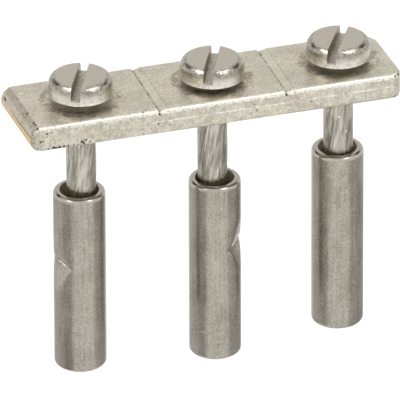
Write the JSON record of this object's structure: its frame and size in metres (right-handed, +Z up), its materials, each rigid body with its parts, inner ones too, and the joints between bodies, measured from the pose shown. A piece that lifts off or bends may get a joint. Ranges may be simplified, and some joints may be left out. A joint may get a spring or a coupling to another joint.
{
  "type": "terminal jumper comb",
  "caption": "Scored flat metal bar with loose slotted screws through it, each carrying a crimped sleeve that slides on its neck; bridges neighbouring screw terminals.",
  "frame": {"origin": "on the bar's underside, on the axis of its middle hole", "axes": "+X along the bar to its punched end, +Y to the bar's back, +Z up towards the screw heads"},
  "size_m": [0.0353, 0.0088, 0.0304],
  "materials": {
    "bar_plating": "tin plated brass, satin and slightly pitted",
    "screw_plating": "zinc plated steel, matte on top and shiny on the rounded edges",
    "sleeve_plating": "nickel plated brass tube, satin"
  },
  "bodies": {
    "jumper_bar": {"jumper_bar": "bar_plating"},
    "screw_left": {"screw_left": "screw_plating"},
    "screw_centre": {"screw_centre": "screw_plating"},
    "screw_right": {"screw_right": "screw_plating"},
    "sleeve_left": {"sleeve_left": "sleeve_plating"},
    "sleeve_centre": {"sleeve_centre": "sleeve_plating"},
    "sleeve_right": {"sleeve_right": "sleeve_plating"}
  },
  "joints": [
    {"name": "screw_left_turn", "type": "hinge", "parent": "jumper_bar", "child": "screw_left", "pos_m": [-0.01215, 0, 0.0024], "axis": [0, 0, 1], "continuous": true},
    {"name": "sleeve_left_slide", "type": "slide", "parent": "screw_left", "child": "sleeve_left", "axis": [0, 0, 1], "range_m": [0, 0.0066]},
    {"name": "screw_centre_turn", "type": "hinge", "parent": "jumper_bar", "child": "screw_centre", "pos_m": [0.0003, 0, 0.0024], "axis": [0, 0, 1], "continuous": true},
    {"name": "sleeve_centre_slide", "type": "slide", "parent": "screw_centre", "child": "sleeve_centre", "axis": [0, 0, 1], "range_m": [0, 0.0075]},
    {"name": "screw_right_turn", "type": "hinge", "parent": "jumper_bar", "child": "screw_right", "pos_m": [0.0123, 0, 0.0024], "axis": [0, 0, 1], "continuous": true},
    {"name": "sleeve_right_slide", "type": "slide", "parent": "screw_right", "child": "sleeve_right", "axis": [0, 0, 1], "range_m": [0, 0.0064]}
  ]
}
